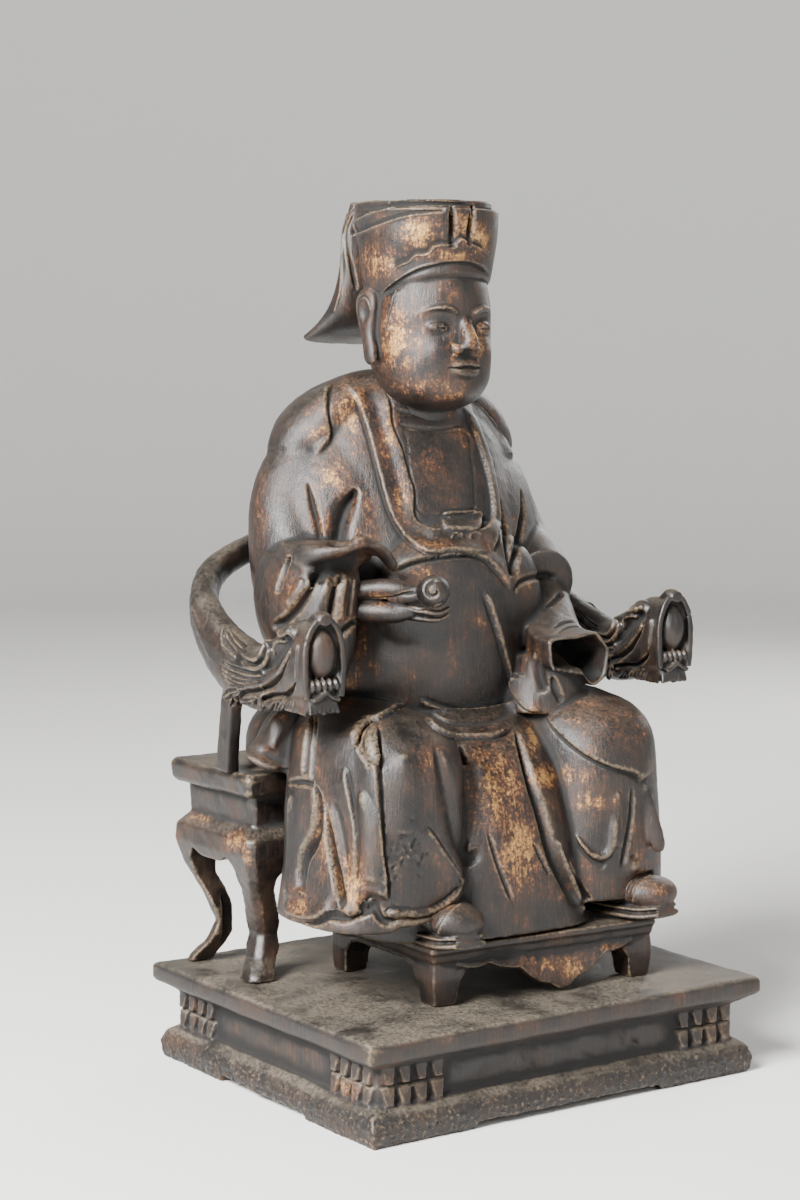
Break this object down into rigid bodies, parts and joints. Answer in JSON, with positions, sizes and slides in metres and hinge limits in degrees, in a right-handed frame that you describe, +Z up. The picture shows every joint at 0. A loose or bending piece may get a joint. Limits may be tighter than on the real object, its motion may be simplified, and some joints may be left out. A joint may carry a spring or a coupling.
{
  "type": "seated dignitary figure",
  "caption": "Carved and lacquered wooden dignitary with cap and robe, seated in a horseshoe chair with dragon-head arms, feet on a footstool, on a moulded plinth.",
  "frame": {"origin": "centre of the plinth's underside", "axes": "+Z up, the figure looks along -Y, +X to its left"},
  "size_m": [0.2208, 0.187, 0.4058],
  "materials": {
    "plinth_wood": "worn dark lacquer, dusty on top",
    "chair_wood": "worn dark lacquer with rubbed highlights",
    "figure_wood": "dark lacquer with worn gilding"
  },
  "bodies": {
    "root": {"plinth": "plinth_wood", "chair_seat": "chair_wood", "arm_rail": "chair_wood", "footstool": "chair_wood", "figure": "figure_wood"}
  },
  "joints": []
}
